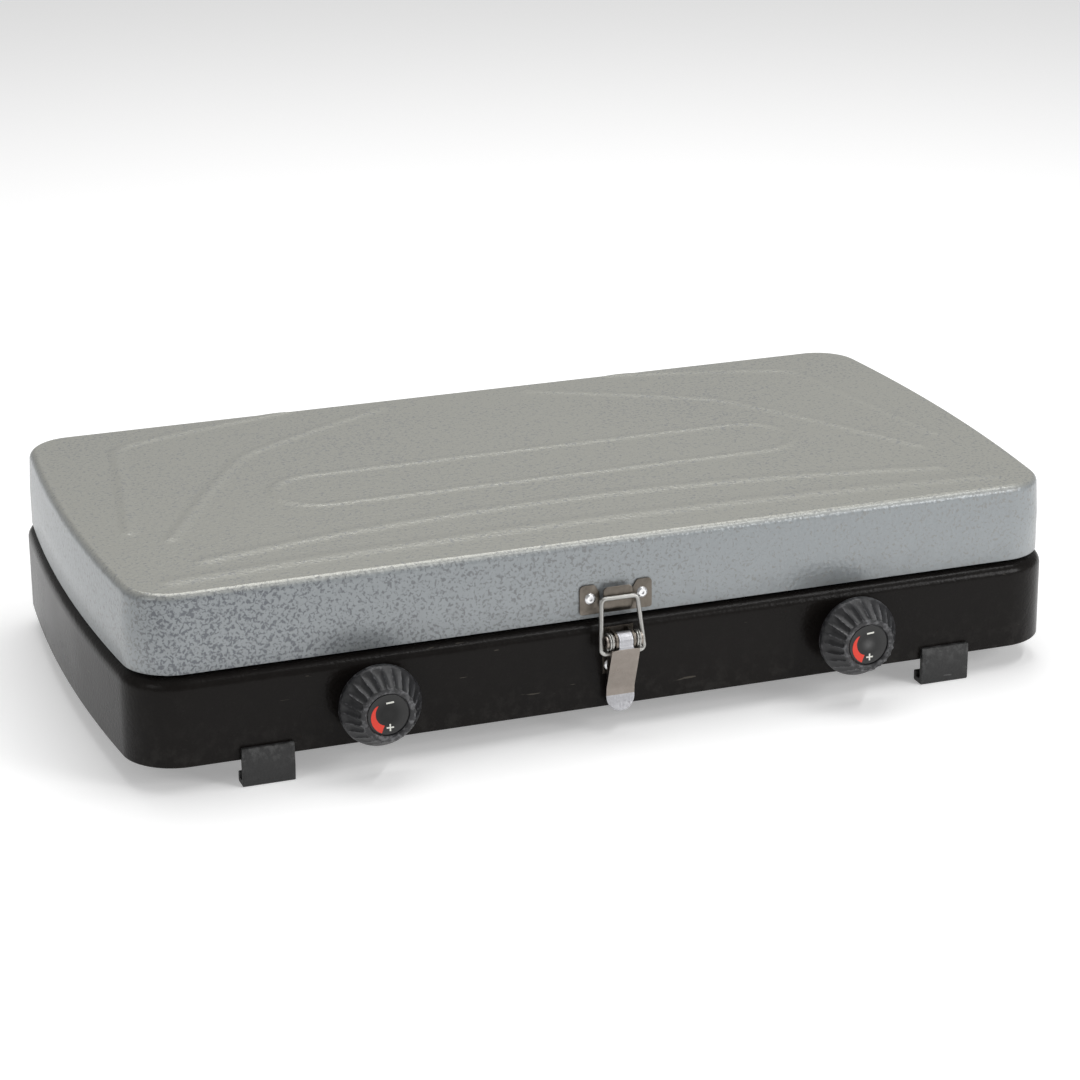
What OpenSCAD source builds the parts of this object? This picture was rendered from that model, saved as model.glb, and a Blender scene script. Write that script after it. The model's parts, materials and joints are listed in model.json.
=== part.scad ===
// Two-burner tabletop gas camp stove, shown closed and latched.
// Origin: centre of the case's underside. +X runs to the right end, -Y is the front, +Z is up.

/* [Case] */
// Overall width of the case at the middle of its bowed ends
case_w = 560; // [540:5:580]
// Depth of the case from front wall to rear wall
case_d = 300; // [290:2:310]
// Height of the base from its underside to its rim
base_h = 50.3; // [50:0.1:52]
// Bulge of each end wall at its middle
end_bow = 8.8; // [6:0.2:10]
// Corner radius of the case in plan
corner_r = 31; // [28:1:34]
// Radius of the rolled rim of the base
rim_r = 7.3; // [6:0.1:7.5]
// Thickness of the case's sheet steel
sheet = 0.9; // [0.8:0.1:1]

/* [Lid] */
// Step of the lid's wall inside the base's wall
lid_inset = 2.7; // [2.4:0.1:3]
// Height of the lid from its hem to its top
lid_h = 45.3; // [44:0.1:48]
// Radius of the lid's top edge
lid_edge_r = 5; // [4:0.5:6]
// Distance of the hinges from the middle of the case
hinge_x = 150; // [130:5:170]

/* [Knobs] */
// Distance of each knob's axis from the middle of the case
knob_x = 141; // [136:1:146]
// Height of the knob axes above the underside
knob_z = 25.3; // [25:0.1:26]
// Largest diameter of a knob
knob_d = 46.5; // [40:0.5:47]
// Diameter of a knob's front rim
knob_front_d = 33; // [30:1:36]
// Depth of a knob from back to front
knob_depth = 18.5; // [18:0.5:20]

/* [Latch] */
// Height of the lever's pivot above the underside
pivot_z = 42; // [41:0.5:43]
// Distance of the lever's pivot from the front wall
pivot_off = 9.5; // [9.5:0.1:10]
// Width of the lever's plate
lever_w = 16.6; // [16:0.2:17]
// Diameter of the bail wire
bail_d = 2.6; // [2.4:0.1:2.6]

/* [Feet] */
// Distance of each foot clip from the middle of the case
foot_x = 201.5; // [196:0.5:204]
// Width of a foot clip
foot_w = 30; // [26:1:32]
// Reach of a foot clip below the case
foot_drop = 15; // [15:0.5:18]

/* [Burners] */
// Place of the burners from front to back
burner_y = 8; // [0:2:12]
// Diameter of a burner's cap
burner_cap_d = 66; // [60:2:70]
// Diameter of the grate's frame wire
grate_wire = 5; // [4:0.5:5]
// Number of cross bars in the grate
grate_bars = 12; // [8:2:14]

/* [Hidden] */
$fn = 48;
eps = 0.02;
half_w = case_w / 2;
half_d = case_d / 2;
front = -half_d;

// Plan outline: straight long sides, arc ends and round corners, all tangent.
end_steps = 4;
corner_steps = 8;
end_r = (half_d * half_d + end_bow * end_bow) / (2 * end_bow);
end_x = half_w - end_r;
corner_y = half_d - corner_r;
corner_x = end_x + sqrt(pow(end_r - corner_r, 2) - pow(corner_y, 2));
corner_a = atan2(corner_y, corner_x - end_x);
quarter_n = end_steps + corner_steps + 1;
ring_n = 4 * quarter_n - 2;

// One quarter of the outline, moved inwards by inset, from the end's middle to the long side.
function quarter(inset) = concat(
  [for (k = [0 : end_steps - 1])
    let (a = corner_a * k / end_steps)
    [end_x + (end_r - inset) * cos(a), (end_r - inset) * sin(a)]],
  [for (k = [0 : corner_steps])
    let (a = corner_a + (90 - corner_a) * k / corner_steps)
    [corner_x + (corner_r - inset) * cos(a), corner_y + (corner_r - inset) * sin(a)]]);
function flip(list) = [for (k = [len(list) - 1 : -1 : 0]) list[k]];
function scaled(list, sx, sy) = [for (p = list) [p.x * sx, p.y * sy]];
function tail(list) = [for (k = [1 : len(list) - 1]) list[k]];
function outline(inset) = let (q = quarter(inset)) concat(
  q, scaled(flip(q), -1, 1), scaled(tail(q), -1, -1), scaled(flip(tail(q)), 1, -1));

// Points of a quarter round in a wall's section, as [inset, height].
function round_edge(inset, z, r, from, to, steps = 4) =
  [for (k = [0 : steps]) let (a = from + (to - from) * k / steps) [inset - r * cos(a), z + r * sin(a)]];

function loft_points(path) = [for (p = path) for (q = outline(p[0])) [q.x, q.y, p[1]]];
function loft_faces(rings, last) = [for (k = [0 : last]) for (j = [0 : ring_n - 1])
  let (k2 = (k + 1) % rings, j2 = (j + 1) % ring_n)
  [k * ring_n + j, k2 * ring_n + j, k2 * ring_n + j2, k * ring_n + j2]];
// A wall that follows the outline all round, from its closed section.
module ring_wall(section) {
  polyhedron(loft_points(section), loft_faces(len(section), len(section) - 1), convexity = 8);
}
// A dished sheet that follows the outline, from the section of its lower side and then its upper side.
module dished_sheet(section) {
  last = len(section) - 1;
  polyhedron(loft_points(section), concat(
    [[for (j = [0 : ring_n - 1]) j]],
    [[for (j = [ring_n - 1 : -1 : 0]) last * ring_n + j]],
    loft_faces(len(section), last - 1)), convexity = 8);
}

// Outline of a bent strip: the given points are one face, and t is the thickness to its right.
function unit(v) = v / norm(v);
function right_of(v) = [v.y, -v.x];
function strip_normal(pts, k) =
  k == 0 ? right_of(unit(pts[1] - pts[0])) :
  k == len(pts) - 1 ? right_of(unit(pts[k] - pts[k - 1])) :
  let (a = right_of(unit(pts[k] - pts[k - 1])), b = right_of(unit(pts[k + 1] - pts[k])))
  (a + b) / (1 + a * b);
function strip(pts, t) = concat(pts,
  flip([for (k = [0 : len(pts) - 1]) pts[k] + t * strip_normal(pts, k)]));

// Extrudes a section drawn as [y, z] along X, centred on x.
module across(x, width) {
  translate([x - width / 2, 0, 0])
    rotate([90, 0, 90])
      linear_extrude(width) children();
}
module rod_x(x0, x1, y, z, r) {
  translate([x0, y, z]) rotate([0, 90, 0]) cylinder(r = r, h = x1 - x0);
}
module rod_y(y0, y1, x, z, r) {
  translate([x, y1, z]) rotate([90, 0, 0]) cylinder(r = r, h = y1 - y0);
}
// A straight round bar between two points.
module bar(a, b, r) {
  d = b - a;
  translate(a)
    rotate([0, acos(d.z / norm(d)), atan2(d.y, d.x)])
      cylinder(r = r, h = norm(d));
}
// A blind rivet along +Z: domed head above z = 0 and a shank of the given length below it.
rivet_head_r = 3.3;
rivet_head_h = 1.3;
rivet_r = 1.6;
module rivet(shank) {
  difference() {
    union() {
      rotate_extrude()
        polygon([[0, 0], [rivet_head_r, 0], [rivet_head_r - 0.3, 0.6], [2.1, rivet_head_h],
          [0, rivet_head_h]]);
      translate([0, 0, -shank]) cylinder(r = rivet_r, h = shank + eps);
    }
    translate([0, 0, 0.4]) cylinder(r = 1.1, h = rivet_head_h);
  }
}
// A pan-head screw along +Z: head above z = 0 and a shank of the given length below it.
module screw(shank, head_r = 2.8, head_h = 1.8, r = 1.5) {
  difference() {
    union() {
      rotate_extrude()
        polygon([[0, 0], [head_r, 0], [head_r, head_h * 0.5], [head_r - 0.8, head_h], [0, head_h]]);
      translate([0, 0, -shank]) cylinder(r = r, h = shank + eps);
    }
    for (a = [0, 90])
      rotate(a) translate([-1.6, -0.3, head_h - 0.8]) cube([3.2, 0.6, 1]);
  }
}

// ---- Base ----
wall_in = sheet;
flange_in = 16;
rim_start = base_h - rim_r;
valve_hole_r = 6.1;
inlet_y = 45;
inlet_z = 14;
inlet_hole_r = 8.2;
end_wall_x = end_x + sqrt(end_r * end_r - inlet_y * inlet_y);
module base_shell() {
  inner_r = rim_r - sheet;
  color("#141414")
    difference() {
      ring_wall(concat(
        [[0, 0]],
        round_edge(rim_r, rim_start, rim_r, 0, 90, 5),
        [[flange_in, base_h], [flange_in, base_h - sheet]],
        round_edge(rim_r, rim_start, inner_r, 90, 0, 5),
        [[wall_in, 2 * sheet], [11, 2 * sheet], [11, sheet + eps], [wall_in, sheet + eps], [wall_in, 0]]));
      for (s = [-1, 1])
        rod_y(front - 1, front + 2, s * knob_x, knob_z, valve_hole_r);
      rod_x(end_wall_x - 3, end_wall_x + 3, inlet_y, inlet_z, inlet_hole_r);
    }
}

pan_screw_places = [for (x = [-190, 0, 190]) for (s = [-1, 1]) [x, s * (half_d - 6)]];
module bottom_pan() {
  color("#1a1a1a")
    difference() {
      linear_extrude(sheet) polygon(outline(1));
      for (p = pan_screw_places) translate([p.x, p.y, -1]) cylinder(r = 1.7, h = 3);
      for (s = [-1, 1]) for (k = [-2 : 2])
        translate([s * knob_x + k * 14 - 2.5, -40, -1]) cube([5, 90, 3]);
    }
}
module pan_screws() {
  color("silver")
    for (p = pan_screw_places) translate([p.x, p.y, 2 * sheet + eps]) screw(2 * sheet + eps);
}

// ---- Drip tray and burners ----
tray_floor = 36;
bowl_r = 25;
bowl_flange_r = 34;
burner_screw_r = 29.5;
burner_screw_a = [35, 215];
function burner_screw_at(s, a) = [s * knob_x + burner_screw_r * cos(a), burner_y + burner_screw_r * sin(a)];
module drip_tray() {
  rim = base_h + 0.1;
  color("#161616")
    difference() {
      dished_sheet([
        [24, tray_floor - 0.8], [19.4, tray_floor + 1.6], [17.2, tray_floor + 4.6],
        [17.2, rim - 0.8], [16.4, rim], [8.7, rim],
        [8.7, rim + 1.2], [9.1, rim + 1.6], [10.1, rim + 1.6], [10.5, rim + 1.2],
        [10.5, rim + 0.8], [17.2, rim + 0.8], [18, rim], [18, tray_floor + 4.8],
        [20, tray_floor + 2.2], [24.2, tray_floor]]);
      for (s = [-1, 1]) {
        translate([s * knob_x, burner_y, 0]) cylinder(r = bowl_r + 0.5, h = 60);
        for (a = burner_screw_a)
          translate(burner_screw_at(s, a)) cylinder(r = 1.6, h = 60);
      }
    }
}

tube_z = 22;
tube_r = 7.5;
bowl_bottom = 11;
head_top = 46;
module burner_bowl(s) {
  color("#8d8f90")
    translate([s * knob_x, burner_y, 0])
      difference() {
        union() {
          rotate_extrude()
            polygon([[0, bowl_bottom], [bowl_r - 4, bowl_bottom], [bowl_r, bowl_bottom + 4],
              [bowl_r, tray_floor], [bowl_flange_r, tray_floor], [bowl_flange_r, tray_floor + 2],
              [30, tray_floor + 3], [30, head_top], [0, head_top]]);
          rod_y(-34, -20, 0, tube_z, 10);
        }
        translate([0, 0, bowl_bottom + 3]) cylinder(r = 21, h = 60);
        translate([0, 0, tray_floor + 1]) cylinder(r = 26.5, h = 60);
        rod_y(-40, 0, 0, tube_z, tube_r + 0.05);
        for (k = [0 : 11])
          rotate(k * 15) translate([-40, -0.9, head_top - 4]) cube([80, 1.8, 6]);
        for (a = burner_screw_a)
          rotate(a) translate([burner_screw_r, 0, 0]) cylinder(r = 1.6, h = 60);
        for (a = burner_screw_a)
          rotate(a) translate([burner_screw_r + 2.2, 0, tray_floor + 1.9]) cylinder(r = 5.4, h = 12);
      }
}
module burner_cap(s) {
  r = burner_cap_d / 2;
  color("#2a2a2a")
    translate([s * knob_x, burner_y, 0])
      rotate_extrude()
        polygon([[0, head_top], [r - 0.5, head_top], [r, head_top + 0.6], [r, head_top + 1.8],
          [r - 2, head_top + 3], [12, head_top + 4], [10, head_top + 3.2], [0, head_top + 3.2]]);
}
module burner_screws() {
  color("silver")
    for (s = [-1, 1]) for (a = burner_screw_a)
      translate(concat(burner_screw_at(s, a), [tray_floor + 1.9])) screw(6, 2.6, 1.6);
}

// Gas parts: the valve's jet blows into the bell of the mixing tube.
valve_back = front + 28;
jet_end = front + 36;
tube_start = front + 34;
tube_end = burner_y - 22;
manifold_y = front + 20;
manifold_z = 11;
manifold_r = 4;
module mixing_tube(s) {
  color("#9a9a98")
    translate([s * knob_x, tube_start, tube_z])
      rotate([-90, 0, 0])
        rotate_extrude()
          polygon([[8.6, 0], [9.6, 0], [9.6, 6], [tube_r, 16], [tube_r, tube_end - tube_start],
            [tube_r - 1, tube_end - tube_start], [tube_r - 1, 16], [8.6, 6]]);
}
module tube_brackets() {
  bracket_y = -62;
  color("#b5b5b0")
    for (s = [-1, 1])
      difference() {
        union() {
          translate([s * knob_x - 10, bracket_y, 12]) cube([20, 1.5, tray_floor - 0.8 - 12]);
          translate([s * knob_x - 10, bracket_y, tray_floor - 2.3]) cube([20, 12, 1.5]);
        }
        rod_y(bracket_y - 1, bracket_y + 3, s * knob_x, tube_z, tube_r + 0.05);
      }
}
stem_r = 3;
bonnet_end = front - 5;
module valve(s) {
  color("#c9a24a")
    difference() {
      union() {
        rod_y(front + sheet + 0.1, valve_back, s * knob_x, knob_z, 8);
        rod_y(bonnet_end, front + 2, s * knob_x, knob_z, 5.9);
        translate([s * knob_x - 8, manifold_y - 7, manifold_z - 7]) cube([16, 14, 16]);
      }
      rod_y(bonnet_end - 1, front + 16, s * knob_x, knob_z, stem_r + 0.05);
      rod_y(valve_back - 6, valve_back + 1, s * knob_x, knob_z, 2.6);
      rod_x(s * knob_x - 9, s * knob_x + 9, manifold_y, manifold_z, manifold_r + 0.05);
    }
}
module valve_nuts() {
  color("silver")
    for (s = [-1, 1])
      difference() {
        translate([s * knob_x, front - 0.05, knob_z])
          rotate([90, 0, 0]) cylinder(r = 9.2, h = 3, $fn = 6);
        rod_y(front - 4, front + 1, s * knob_x, knob_z, 5.95);
      }
}
module gas_jets() {
  color("#d4ae55")
    for (s = [-1, 1])
      difference() {
        union() {
          rod_y(valve_back - 5, jet_end, s * knob_x, knob_z, 2.5);
          rod_y(valve_back, valve_back + 3, s * knob_x, knob_z, 3.6);
        }
        rod_y(valve_back - 6, jet_end + 1, s * knob_x, knob_z, 0.5);
      }
}

// The manifold runs from the inlet forwards inside the right end, round the corner and along the front.
pipe_side_x = end_wall_x - 16;
bend_r = 26;
module manifold_pipe() {
  color("#a8a8a4") {
    translate([pipe_side_x - bend_r, manifold_y + bend_r, manifold_z])
      rotate([0, 0, -90])
        rotate_extrude(angle = 90)
          translate([bend_r, 0]) circle(r = manifold_r);
    rod_x(-knob_x - 14, pipe_side_x - bend_r, manifold_y, manifold_z, manifold_r);
    rod_y(manifold_y + bend_r, inlet_y - 8, pipe_side_x, manifold_z, manifold_r);
  }
}
fitting_r = 7.94;
fitting_out = 12;
shank_r = fitting_r - 0.4;
thread_x = half_w;
module inlet_fitting() {
  color("#c9a24a")
    difference() {
      union() {
        rod_x(pipe_side_x + 4, thread_x + 0.1, inlet_y, inlet_z, shank_r);
        rod_x(thread_x, end_wall_x + fitting_out, inlet_y, inlet_z, fitting_r);
        translate([pipe_side_x - 9, inlet_y - 8, inlet_z - 9]) cube([20.5 - 5.5, 16, 18]);
      }
      rod_x(pipe_side_x, end_wall_x + fitting_out + 1, inlet_y, inlet_z, 3.5);
    }
}
module inlet_nut() {
  color("silver")
    difference() {
      rod_x(end_wall_x - 5.8, end_wall_x - 2, inlet_y, inlet_z, 12);
      rod_x(end_wall_x - 7, end_wall_x, inlet_y, inlet_z, shank_r + 0.05);
    }
}

// ---- Grate ----
grate_inset = 16;
grate_z = base_h + 0.9 + grate_wire / 2 + 0.1;
module grate() {
  x = half_w - end_bow - grate_inset;
  y = half_d - grate_inset;
  r = grate_wire / 2;
  turn = 32;
  lap = 0.3;
  bar_r = 2;
  pitch = 2 * (x - turn) / (grate_bars - 1);
  color("#b9bab8")
    union() {
      for (s = [-1, 1]) {
        rod_x(-x + turn - lap, x - turn + lap, s * y, grate_z, r);
        rod_y(-y + turn - lap, y - turn + lap, s * x, grate_z, r);
      }
      for (a = [0 : 90 : 270]) {
        corner = [[x, y], [-x, y], [-x, -y], [x, -y]][a / 90];
        translate([corner.x - sign(corner.x) * turn, corner.y - sign(corner.y) * turn, grate_z])
          rotate(a) rotate_extrude(angle = 90) translate([turn, 0]) circle(r = r + 0.05);
      }
      rod_x(-x, x, 0, grate_z, r - 0.3);
      for (k = [0 : grate_bars - 1])
        rod_y(-y, y, -x + turn + k * pitch, grate_z + r + 0.6, bar_r);
    }
}

// ---- Hinges ----
hinge_y = half_d + 4.4;
hinge_z = 51;
knuckle_r = 3.2;
pin_r = 1.5;
leaf_w = 46;
leaf_t = 1.2;
lid_knuckle = 18;
lid_rear = half_d - lid_inset;
rivet_step = 15;
module hinge_leaves_base() {
  color("#c4c4c0")
    for (s = [-1, 1]) {
      difference() {
        union() {
          across(s * hinge_x, leaf_w)
            polygon(strip([[half_d, 22], [half_d, 44], [half_d + 1.6, 48.4]], leaf_t));
          for (e = [-1, 1])
            rod_x(s * hinge_x + e * 16.4 - 6.6, s * hinge_x + e * 16.4 + 6.6, hinge_y, hinge_z, knuckle_r);
        }
        rod_x(s * hinge_x - 30, s * hinge_x + 30, hinge_y, hinge_z, pin_r + 0.01);
        translate([s * hinge_x - lid_knuckle / 2 - 0.4, half_d - 1, hinge_z - 6])
          cube([lid_knuckle + 0.8, 12, 12]);
        for (e = [-1, 1])
          rod_y(half_d - 1, half_d + 3, s * hinge_x + e * rivet_step, 31, rivet_r);
      }
    }
}
module hinge_leaves_lid() {
  color("#c4c4c0")
    for (s = [-1, 1])
      difference() {
        union() {
          across(s * hinge_x, leaf_w)
            polygon(strip([[lid_rear, 73], [lid_rear, 57]], -leaf_t));
          across(s * hinge_x, lid_knuckle)
            polygon(strip([[lid_rear, 58], [lid_rear, 57], [hinge_y - 1.6, hinge_z + 1.6]], -leaf_t));
          rod_x(s * hinge_x - lid_knuckle / 2, s * hinge_x + lid_knuckle / 2, hinge_y, hinge_z, knuckle_r);
        }
        rod_x(s * hinge_x - 30, s * hinge_x + 30, hinge_y, hinge_z, pin_r + 0.06);
        for (e = [-1, 1])
          rod_y(lid_rear - 1, lid_rear + 3, s * hinge_x + e * rivet_step, 66, rivet_r);
      }
}
module hinge_pins() {
  color("silver")
    for (s = [-1, 1]) rod_x(s * hinge_x - 24, s * hinge_x + 24, hinge_y, hinge_z, pin_r);
}
module rear_rivets(y, z) {
  color("silver")
    for (s = [-1, 1]) for (e = [-1, 1])
      translate([s * hinge_x + e * rivet_step, y, z]) rotate([-90, 0, 0]) rivet(3);
}
module hinge_rivets_base() { rear_rivets(half_d + leaf_t, 31); }
module hinge_rivets_lid() { rear_rivets(lid_rear + leaf_t, 66); }

// ---- Lid ----
lid_z = base_h + 2;
lid_top = lid_z + lid_h;
hem_in = 9.5;
lid_lean = 0.9;
module lid_shell() {
  lower = lid_z + 22;
  upper = lid_inset + lid_lean;
  edge_z = lid_top - lid_edge_r;
  color("#9b9d9c")
    dished_sheet(concat(
      [[40, lid_top - sheet]],
      round_edge(upper + lid_edge_r, edge_z, lid_edge_r - sheet, 90, 0),
      [[lid_inset + sheet, lower], [lid_inset + sheet, lid_z + sheet], [hem_in, lid_z + sheet],
        [hem_in, lid_z], [lid_inset, lid_z], [lid_inset, lower]],
      round_edge(upper + lid_edge_r, edge_z, lid_edge_r, 0, 90),
      [[40, lid_top]]));
}

baffle_z = lid_top - 8;
baffle_rod_x = 254;
rod_r = 1.6;
module baffle(s) {
  inner_x = 96;
  color("#a5a6a5")
    difference() {
      union() {
        translate([0, 0, baffle_z])
          linear_extrude(0.8)
            polygon([[s * (baffle_rod_x - 3), -112], [s * inner_x, -84], [s * inner_x, 84],
              [s * (baffle_rod_x - 3), 112]]);
        for (y = [-70, 0, 70])
          rod_y(y - 14, y + 14, s * baffle_rod_x, baffle_z + 0.8, rod_r + 1);
        for (y = [-70, 0, 70])
          translate([min(s * (baffle_rod_x - 4), s * (baffle_rod_x - 1.5)), y - 14, baffle_z])
            cube([2.5, 28, 0.8]);
      }
      rod_y(-120, 120, s * baffle_rod_x, baffle_z + 0.8, rod_r + 0.06);
    }
}
module baffle_rods() {
  color("silver")
    for (s = [-1, 1]) rod_y(-110, 110, s * baffle_rod_x, baffle_z + 0.8, rod_r);
}
module baffle_clips() {
  color("#a5a6a5")
    for (s = [-1, 1]) for (y = [-98, 35, -35, 98])
      difference() {
        union() {
          rod_y(y - 4, y + 4, s * baffle_rod_x, baffle_z + 0.8, rod_r + 1.2);
          translate([s * baffle_rod_x - 2, y - 4, baffle_z + 2])
            cube([4, 8, lid_top - sheet - 0.05 - baffle_z - 2]);
        }
        rod_y(-120, 120, s * baffle_rod_x, baffle_z + 0.8, rod_r + 0.02);
      }
}

// ---- Latch ----
lid_front = front + lid_inset;
catch_t = 1.1;
catch_z = 55;
catch_h = 17.2;
catch_w = 42.6;
tab_w = 17;
catch_rivet_x = 15.3;
catch_rivet_z = 64.3;
pivot_y = front - pivot_off;
bail_r = bail_d / 2;
bail_pivot = [front - 8.9, pivot_z - 7.2];
bail_top = [front - 3.5, 65];
pin_radius = 3.7;
module catch_plate() {
  color("#8f8a80")
    difference() {
      union() {
        difference() {
          translate([-catch_w / 2, lid_front - catch_t, catch_z]) cube([catch_w, catch_t, catch_h]);
          for (s = [-1, 1]) for (z = [catch_z, catch_z + catch_h])
            translate([s * catch_w / 2, lid_front, z]) rotate([90, 0, 0])
              rotate(45) cube([3.4, 3.4, 6], center = true);
        }
        across(0, tab_w)
          polygon(strip([[lid_front - 0.4, catch_z + 0.4], [front - 0.75, catch_z + 3.4],
            [front - 0.75, catch_z + catch_h - 1]], -catch_t));
      }
      for (s = [-1, 1])
        rod_y(lid_front - 4, lid_front + 1, s * catch_rivet_x, catch_rivet_z, rivet_r);
    }
}
module catch_rivets() {
  color("silver")
    for (s = [-1, 1])
      translate([s * catch_rivet_x, lid_front - catch_t, catch_rivet_z]) rotate([90, 0, 0]) rivet(3.4);
}
ear_in = 4.5;
ear_t = 1.2;
bracket_rivet_z = 25;
module latch_bracket() {
  color("#8f8a80")
    difference() {
      union() {
        translate([-9, front - 1.2, 20]) cube([18, 1.2, 27.5]);
        for (s = [-1, 1]) {
          x = s > 0 ? ear_in : -ear_in - ear_t;
          rod_x(x, x + ear_t, pivot_y, pivot_z, 5);
          translate([x, pivot_y, pivot_z - 5]) cube([ear_t, pivot_off - 0.6, 10]);
        }
      }
      rod_x(-12, 12, pivot_y, pivot_z, pin_radius + 0.01);
      for (s = [-1, 1]) rod_y(front - 3, front + 1, s * 5, bracket_rivet_z, rivet_r);
    }
}
module latch_bracket_rivets() {
  color("silver")
    for (s = [-1, 1])
      translate([s * 5, front - 1.2, bracket_rivet_z]) rotate([90, 0, 0]) rivet(3);
}
module latch_pin() {
  color("#b08d6a")
    difference() {
      rod_x(-10.6, 10.6, pivot_y, pivot_z, pin_radius);
      rod_x(-11, 11, pivot_y, pivot_z, 2.2);
    }
}
plate_t = 1.2;
plate_top = [front - 14.5, 38];
plate_low = [front - 5.3, 12.5];
neck_w = 8.2;
module latch_lever() {
  half = lever_w / 2;
  neck_r = 4.95;
  color("#b9b6b0")
    difference() {
      union() {
        intersection() {
          across(0, lever_w)
            polygon(strip([plate_top, plate_low, [front - 5.0, 8], [front - 5.9, 3.4], [front - 7.4, -0.7]],
              -plate_t));
          union() {
            translate([-half, front - 20, 7.2]) cube([lever_w, 22, 40]);
            rod_y(front - 20, front, 0, 7.4, half);
          }
        }
        for (s = [-1, 1])
          across(s * (half - plate_t / 2), plate_t)
            polygon([[front - 14.2, 37.9], [front - 5.2, 13.2], [front - 4.2, 13.4], [front - 6.2, 29],
              [front - 6.6, 37]]);
        rod_x(-neck_w / 2, neck_w / 2, pivot_y, pivot_z, neck_r);
        translate([-neck_w / 2, plate_top.x, plate_top.y - 0.6]) cube([neck_w, plate_t, pivot_z - plate_top.y + 0.6]);
      }
      rod_x(-neck_w / 2 - 0.1, neck_w / 2 + 0.1, pivot_y, pivot_z, pin_radius + 0.08);
      for (s = [-1, 1])
        rod_x(s * half - 2, s * half + 2, pivot_y, pivot_z, 5.35);
      rod_x(-12, 12, bail_pivot.x, bail_pivot.y, bail_r + 0.08);
    }
}
// One torsion spring's coil, swept along a helix about the pivot.
spring_wire_r = 0.6;
spring_r = 4.4;
spring_pitch = 1.32;
spring_turns = 2.4;
module spring_coil(x0) {
  sides = 8;
  steps = 40;
  last = steps * sides;
  polyhedron(
    [for (k = [0 : steps]) for (j = [0 : sides - 1])
      let (a = 360 * spring_turns * k / steps, b = 360 * j / sides,
        r = spring_r + spring_wire_r * cos(b))
      [x0 + spring_pitch * a / 360 + spring_wire_r * sin(b), pivot_y + r * cos(a), pivot_z + r * sin(a)]],
    concat(
      [for (k = [0 : steps - 1]) for (j = [0 : sides - 1])
        let (j2 = (j + 1) % sides)
        [k * sides + j, k * sides + j2, (k + 1) * sides + j2, (k + 1) * sides + j]],
      [flip([for (j = [0 : sides - 1]) j])],
      [[for (j = [0 : sides - 1]) last + j]]), convexity = 6);
}
module latch_springs() {
  run = spring_pitch * spring_turns;
  color("#9a958c") {
    spring_coil(6.5);
    spring_coil(-6.5 - run);
  }
}
module latch_bail() {
  top_x = 10.6;
  low_x = 12.8;
  joint_swell = 0.05;
  color("#b5b2ac")
    union() {
      bar([-top_x, bail_top.x, bail_top.y], [top_x, bail_top.x, bail_top.y], bail_r);
      for (s = [-1, 1]) {
        a = [s * top_x, bail_top.x, bail_top.y];
        b = [s * low_x, bail_pivot.x, bail_pivot.y];
        bar(a, b, bail_r);
        bar([s * (lever_w / 2 - 2), b.y, b.z], b, bail_r);
        translate(a) sphere(r = bail_r + joint_swell);
        translate(b) sphere(r = bail_r + joint_swell);
      }
    }
}

// ---- Knobs ----
knob_back = front - 9;
dial_r = 11.5;
module turned(s, profile) {
  translate([s * knob_x, knob_back, knob_z]) rotate([90, 0, 0]) rotate_extrude() polygon(profile);
}
module knob(s) {
  r = knob_d / 2;
  f = knob_front_d / 2;
  color("#1b1b1c")
    difference() {
      turned(s, [[0, 0], [r - 0.9, 0], [r, 1], [r, 5], [f, knob_depth - 1], [f - 1, knob_depth],
        [dial_r + 0.6, knob_depth], [dial_r + 0.1, knob_depth - 1.6], [0, knob_depth - 1.6]]);
      rod_y(knob_back - 13.5, knob_back + 1, s * knob_x, knob_z, stem_r + 0.02);
    }
}
module dial(s) {
  color("#d8341c") turned(s, [[0, knob_depth - 1.58], [dial_r, knob_depth - 1.58],
    [dial_r, knob_depth - 1], [0, knob_depth - 1]]);
}
module stem(s) {
  color("#c9a24a") rod_y(knob_back - 13.2, front + 15, s * knob_x, knob_z, stem_r);
}

// ---- Feet ----
clip_t = 3.2;
lip = 10.5;
foot_screw_z = 4.8;
module foot_clip(side, s) {
  outer = -half_d - clip_t;
  hook = outer + lip;
  color("#1c1c1c")
    rotate(side > 0 ? 180 : 0)
      difference() {
        across(side * s * -foot_x, foot_w)
          polygon([[outer, 7], [outer, 0.8 - foot_drop], [outer + 0.8, -foot_drop],
            [hook - 0.8, -foot_drop], [hook, 0.8 - foot_drop], [hook, 6 - foot_drop],
            [hook - 2.5, 6 - foot_drop], [hook - 2.5, 3 - foot_drop],
            [-half_d, 3 - foot_drop], [-half_d, 7]]);
        rod_y(-half_d - 2.4, -half_d + 1, side * s * -foot_x, foot_screw_z, 1.52);
      }
}
module foot_screws() {
  color("silver")
    for (a = [0, 180]) for (s = [-1, 1])
      rotate(a) translate([s * foot_x, -half_d + sheet + 0.02, foot_screw_z])
        rotate([-90, 0, 0]) screw(3.1);
}

base_shell();
bottom_pan();
pan_screws();
drip_tray();
burner_bowl(-1);  // burner_bowl_left
burner_bowl(1);  // burner_bowl_right
burner_cap(-1);  // burner_cap_left
burner_cap(1);  // burner_cap_right
burner_screws();
mixing_tube(-1);  // mixing_tube_left
mixing_tube(1);  // mixing_tube_right
tube_brackets();
valve(-1);  // valve_left
valve(1);  // valve_right
valve_nuts();
gas_jets();
manifold_pipe();
inlet_fitting();
inlet_nut();
grate();
hinge_leaves_base();
hinge_pins();
hinge_rivets_base();
latch_bracket();
latch_bracket_rivets();
latch_pin();
foot_clip(-1, -1);  // foot_clip_front_left
foot_clip(-1, 1);  // foot_clip_front_right
foot_clip(1, -1);  // foot_clip_rear_left
foot_clip(1, 1);  // foot_clip_rear_right
foot_screws();
lid_shell();
hinge_leaves_lid();
hinge_rivets_lid();
catch_plate();
catch_rivets();
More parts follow.
